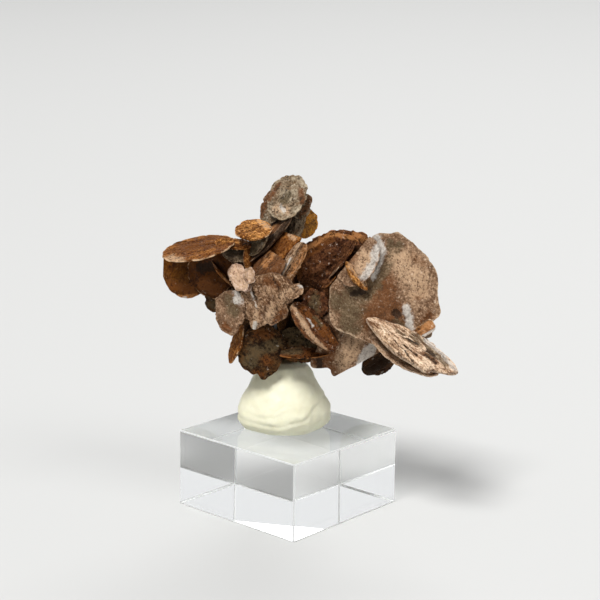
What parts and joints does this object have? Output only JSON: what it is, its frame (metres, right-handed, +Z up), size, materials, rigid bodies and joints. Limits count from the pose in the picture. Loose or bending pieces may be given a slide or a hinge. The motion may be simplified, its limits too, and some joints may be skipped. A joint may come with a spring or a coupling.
{
  "type": "bladed calcite specimen",
  "caption": "Cluster of intergrown lens-shaped calcite blades, brown to golden, held by white putty on a clear square acrylic block.",
  "frame": {"origin": "centre of the block's flat underside", "axes": "+Z up, +X along the specimen's long direction towards its large disc, -Y towards its display side"},
  "size_m": [0.0471, 0.0354, 0.0548],
  "materials": {
    "calcite": "sugary mottled brown, tan and gold crystal faces with pale rims",
    "putty": "satin creamy white, hand-pressed",
    "acrylic": "clear, polished faces"
  },
  "bodies": {
    "root": {"calcite_blades": "calcite", "mineral_putty": "putty", "acrylic_base": "acrylic"}
  },
  "joints": []
}
